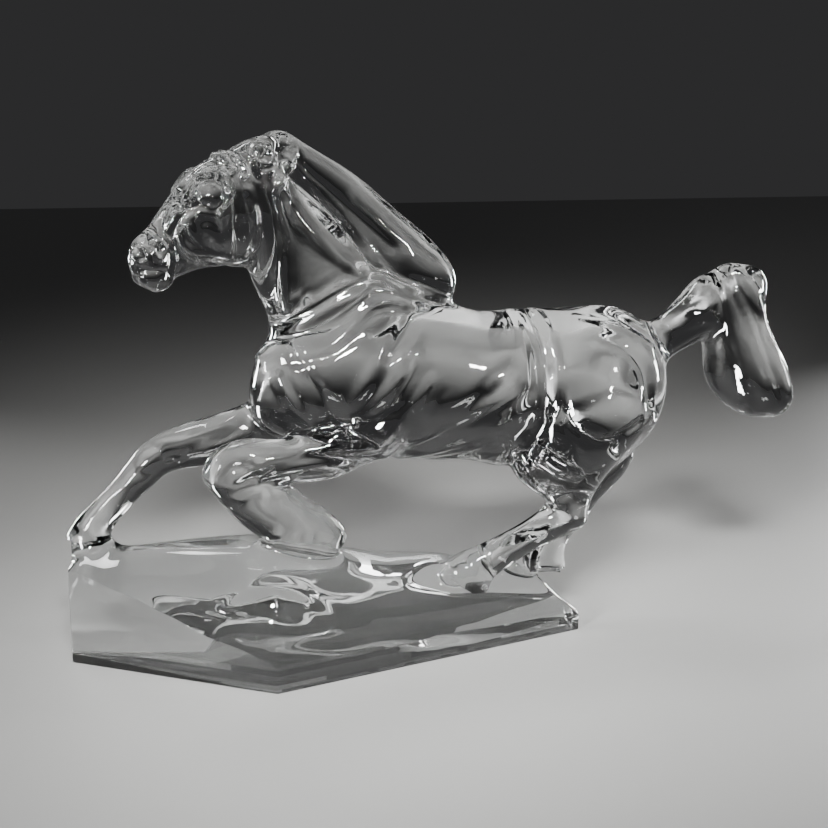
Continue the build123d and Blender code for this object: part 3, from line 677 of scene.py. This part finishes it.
class CRYSTAL_OT_model(bpy.types.Operator):
    """Work the modelling into the soft glass: face, hair, folds and muscles"""

    bl_idname = "crystal.model"
    bl_label = "Model the figure"

    def execute(self, context):
        mesh = skin().data
        bm = bmesh.new()
        bm.from_mesh(mesh)
        pinched = context.scene.crystal_sizes.grain * PINCH
        bmesh.ops.remove_doubles(bm, verts=bm.verts, dist=pinched)
        bmesh.ops.dissolve_degenerate(bm, edges=bm.edges, dist=pinched * 0.1)
        bmesh.ops.subdivide_edges(bm, edges=head_edges(bm), cuts=1, smooth=0.3, use_grid_fill=True)
        bm.to_mesh(mesh)
        tree = BVHTree.FromBMesh(bm)
        bm.free()
        glass = Skin(mesh)
        glass.smooth(2)
        facing = glass.normals()
        fields = canvases()
        for name, sides, half, height, kind, points in STROKES:
            field = fields[name]
            for far in {"near": (False,), "far": (True,), "both": (False, True)}[sides]:
                hits = [field.cast(tree, point, far) for point in curve(points)]
                line = [tuple(hit) for hit in hits if hit]
                if line:
                    glass.stroke(facing, line, half * MM, height * MM, kind == "crease")
        glass.smooth(3)
        for centre, radius, passes in soft_patches():
            glass.smooth(passes, mask=patch(glass.places, centre, radius))
        glass.store()
        return {"FINISHED"}


class CRYSTAL_OT_cut(bpy.types.Operator):
    """Cut the plinth's walls and underside flat"""

    bl_idname = "crystal.cut"
    bl_label = "Cut the plinth"

    def execute(self, context):
        obj = skin()
        cutter = wall_cutter()
        context.scene.collection.objects.link(cutter)
        saw = obj.modifiers.new("saw", "BOOLEAN")
        saw.operation = "DIFFERENCE"
        saw.solver = "EXACT"
        saw.object = cutter
        cut = evaluated(obj, PIECE)
        obj.modifiers.clear()
        obj.data = cut
        mesh = cutter.data
        bpy.data.objects.remove(cutter)
        bpy.data.meshes.remove(mesh)
        bm = bmesh.new()
        bm.from_mesh(obj.data)
        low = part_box("plinth")[0].z
        cutting = bmesh.ops.bisect_plane(
            bm,
            geom=bm.verts[:] + bm.edges[:] + bm.faces[:],
            plane_co=(0, 0, low),
            plane_no=(0, 0, -1),
            clear_outer=True,
        )
        rim = [e for e in cutting["geom_cut"] if isinstance(e, bmesh.types.BMEdge)]
        bmesh.ops.edgenet_fill(bm, edges=rim)
        bmesh.ops.recalc_face_normals(bm, faces=bm.faces)
        bmesh.ops.bevel(
            bm,
            geom=[edge for edge in bm.edges if straight(edge, low)],
            offset=context.scene.crystal_sizes.bevel,
            offset_type="OFFSET",
            segments=2,
            profile=0.5,
            affect="EDGES",
        )
        for face in bm.faces:
            face.smooth = True
        for edge in bm.edges:
            edge.smooth = edge.is_manifold and edge.calc_face_angle(0) < radians(35)
        bm.to_mesh(obj.data)
        bm.free()
        return {"FINISHED"}


# ---------------------------------------------------------------- materials
class Val:
    """A shader socket that takes part in sums."""

    def __init__(self, tree, socket):
        self.tree = tree
        self.socket = socket

    def _math(self, operation, *others):
        node = self.tree.nodes.new("ShaderNodeMath")
        node.operation = operation
        for slot, value in zip(node.inputs, others):
            if isinstance(value, Val):
                self.tree.links.new(value.socket, slot)
            else:
                slot.default_value = value
        return Val(self.tree, node.outputs[0])

    def __add__(self, other):
        return self._math("ADD", self, other)

    def __radd__(self, other):
        return self._math("ADD", other, self)

    def __mul__(self, other):
        return self._math("MULTIPLY", self, other)

    def __rmul__(self, other):
        return self._math("MULTIPLY", other, self)


class Shader:
    """A material's node tree."""

    def __init__(self, name):
        self.material = bpy.data.materials.new(name)
        self.material.use_nodes = True
        self.tree = self.material.node_tree
        self.tree.nodes.clear()

    def node(self, kind, settings=None, **values):
        """Makes a node: its settings first, then the values or links of its sockets."""
        made = self.tree.nodes.new(kind)
        for key, value in (settings or {}).items():
            setattr(made, key, value)
        for key, value in values.items():
            socket = made.inputs[key.replace("_", " ")]
            if isinstance(value, Val):
                self.tree.links.new(value.socket, socket)
            else:
                socket.default_value = value
        return made

    def out(self, node, name):
        """One of a node's outputs."""
        return Val(self.tree, node.outputs[name])


def crystal_material(glass):
    """Clear lead crystal: fire-polished skin, faintly uneven, and a trace of colour in depth."""
    shader = Shader("clear_crystal")
    place = shader.out(shader.node("ShaderNodeTexCoord"), "Object")
    waves = shader.node("ShaderNodeTexNoise", Vector=place, Scale=55.0, Detail=1.0)
    haze = shader.node("ShaderNodeTexNoise", Vector=place, Scale=320.0, Detail=3.0)
    bump = shader.node(
        "ShaderNodeBump",
        Strength=0.5,
        Distance=0.35 * MM,
        Height=shader.out(waves, "Fac"),
    )
    surface = shader.node(
        "ShaderNodeBsdfPrincipled",
        Base_Color=(*glass.tint, 1.0),
        Roughness=shader.out(haze, "Fac") * 0.02,
        Normal=shader.out(bump, "Normal"),
        IOR=glass.bend,
    )
    surface.inputs["Transmission Weight"].default_value = 1.0
    depth = shader.node("ShaderNodeVolumeAbsorption", Color=(0.93, 0.965, 0.96, 1.0), Density=2.0)
    out = shader.node("ShaderNodeOutputMaterial")
    shader.tree.links.new(surface.outputs["BSDF"], out.inputs["Surface"])
    shader.tree.links.new(depth.outputs["Volume"], out.inputs["Volume"])
    return shader.material


class CRYSTAL_OT_polish(bpy.types.Operator):
    """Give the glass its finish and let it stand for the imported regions"""

    bl_idname = "crystal.polish"
    bl_label = "Polish the glass"

    def execute(self, context):
        obj = skin()
        obj.data.materials.clear()
        obj.data.materials.append(crystal_material(context.scene.crystal_glass))
        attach(obj, "root")
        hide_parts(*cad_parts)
        return {"FINISHED"}


# ---------------------------------------------------------------- stage
BEAM = radians(42)          # how wide each light spreads
AIM = Vector((28.5, -2.0, 80.0)) * MM
AZIMUTH, ELEVATION, DISTANCE = radians(-12), radians(12), 0.52
LENS, SENSOR = 67.17, 36.0  # millimetres


def soft_box(name, place, target, size, power):
    """A rectangular soft light."""
    lamp = bpy.data.lights.new(name, "AREA")
    lamp.shape = "RECTANGLE"
    lamp.size, lamp.size_y = size
    lamp.energy = power
    lamp.spread = BEAM
    obj = bpy.data.objects.new(name, lamp)
    obj.location = place
    obj.rotation_mode = "QUATERNION"
    obj.rotation_quaternion = (Vector(target) - Vector(place)).to_track_quat("-Z", "Y")
    bpy.context.scene.collection.objects.link(obj)


# Each light: its name, its step from the figure's middle, its size and its share of the key light.
LIGHTS = (
    ("key", (-0.46, -0.50, 0.12), (0.13, 0.20), 3.0),
    ("top", (-0.16, 0.18, 0.52), (0.32, 0.06), 0.5),
    ("left_strip", (-0.62, 0.16, 0.02), (0.05, 0.16), 0.7),
    ("right_strip", (0.66, 0.02, 0.03), (0.05, 0.16), 0.7),
    ("back_left", (-0.42, 0.60, 0.02), (0.08, 0.16), 1.0),
    ("back_right", (0.50, 0.52, 0.02), (0.07, 0.16), 0.8),
    ("front_box", (-0.10, -0.55, 0.40), (0.13, 0.07), 2.8),
    ("front_lamp", (0.30, -0.60, 0.22), (0.03, 0.04), 0.2),
)


class CRYSTAL_OT_stage(bpy.types.Operator):
    """Set the table, the light and the camera"""

    bl_idname = "crystal.stage"
    bl_label = "Set the stage"

    def execute(self, context):
        scene, stage = context.scene, context.scene.crystal_stage
        bm = bmesh.new()
        bmesh.ops.create_grid(bm, x_segments=1, y_segments=1, size=2.0)
        mesh = bpy.data.meshes.new("table")
        bm.to_mesh(mesh)
        bm.free()
        table = bpy.data.objects.new("table", mesh)
        scene.collection.objects.link(table)
        shader = Shader("table_top")
        place = shader.out(shader.node("ShaderNodeTexCoord"), "Object")
        grain = shader.node("ShaderNodeTexNoise", Vector=place, Scale=400.0, Detail=3.0)
        surface = shader.node(
            "ShaderNodeBsdfPrincipled",
            Base_Color=(*stage.floor, 1.0),
            Roughness=shader.out(grain, "Fac") * 0.1 + 0.45,
        )
        out = shader.node("ShaderNodeOutputMaterial")
        shader.tree.links.new(surface.outputs["BSDF"], out.inputs["Surface"])
        mesh.materials.append(shader.material)

        world = bpy.data.worlds.new("room")
        scene.world = world
        world.use_nodes = True
        world.node_tree.nodes["Background"].inputs["Color"].default_value = (*stage.room, 1.0)
        world.node_tree.nodes["Background"].inputs["Strength"].default_value = 1.0

        low, high = CAD_BOX
        centre = (low + high) / 2
        for name, step, size, share in LIGHTS:
            soft_box(name, centre + Vector(step), centre, size, stage.key * share)

        camera = bpy.data.objects.new("camera", bpy.data.cameras.new("camera"))
        scene.collection.objects.link(camera)
        camera.data.sensor_width = SENSOR
        camera.data.lens = LENS
        level = Vector((np.sin(AZIMUTH), -np.cos(AZIMUTH), 0.0))
        back = level * np.cos(ELEVATION) + Vector((0.0, 0.0, np.sin(ELEVATION)))
        camera.location = AIM + back * DISTANCE
        camera.rotation_mode = "QUATERNION"
        camera.rotation_quaternion = (-back).to_track_quat("-Z", "Y")
        camera.data.clip_start, camera.data.clip_end = 0.01, 20.0
        scene.camera = camera
        return {"FINISHED"}


class CRYSTAL_PT_panel(bpy.types.Panel):
    """Lists the steps of the glass working"""

    bl_idname = "CRYSTAL_PT_panel"
    bl_label = "Crystal Horse"
    bl_space_type = "VIEW_3D"
    bl_region_type = "UI"
    bl_category = "Crystal Horse"

    def draw(self, context):
        for group in ("crystal_sizes", "crystal_glass", "crystal_stage"):
            settings = getattr(context.scene, group)
            for key in settings.bl_rna.properties.keys():
                if key not in ("rna_type", "name"):
                    self.layout.prop(settings, key)
        for step in STEPS:
            self.layout.operator(step.bl_idname)


STEPS = (
    CRYSTAL_OT_gather,
    CRYSTAL_OT_melt,
    CRYSTAL_OT_model,
    CRYSTAL_OT_cut,
    CRYSTAL_OT_polish,
    CRYSTAL_OT_stage,
)
GROUPS = {
    "crystal_sizes": CrystalHorseSizes,
    "crystal_glass": CrystalHorseGlass,
    "crystal_stage": CrystalHorseStage,
}


def register():
    for group in GROUPS.values():
        bpy.utils.register_class(group)
    for step in STEPS:
        bpy.utils.register_class(step)
    bpy.utils.register_class(CRYSTAL_PT_panel)
    for name, group in GROUPS.items():
        setattr(bpy.types.Scene, name, PointerProperty(type=group))


def unregister():
    for name in GROUPS:
        delattr(bpy.types.Scene, name)
    bpy.utils.unregister_class(CRYSTAL_PT_panel)
    for step in reversed(STEPS):
        bpy.utils.unregister_class(step)
    for group in reversed(GROUPS.values()):
        bpy.utils.unregister_class(group)


def main():
    register()
    bpy.ops.crystal.gather()
    bpy.ops.crystal.melt()
    bpy.ops.crystal.model()
    bpy.ops.crystal.cut()
    bpy.ops.crystal.polish()
    bpy.ops.crystal.stage()


if __name__ == "__main__":
    main()
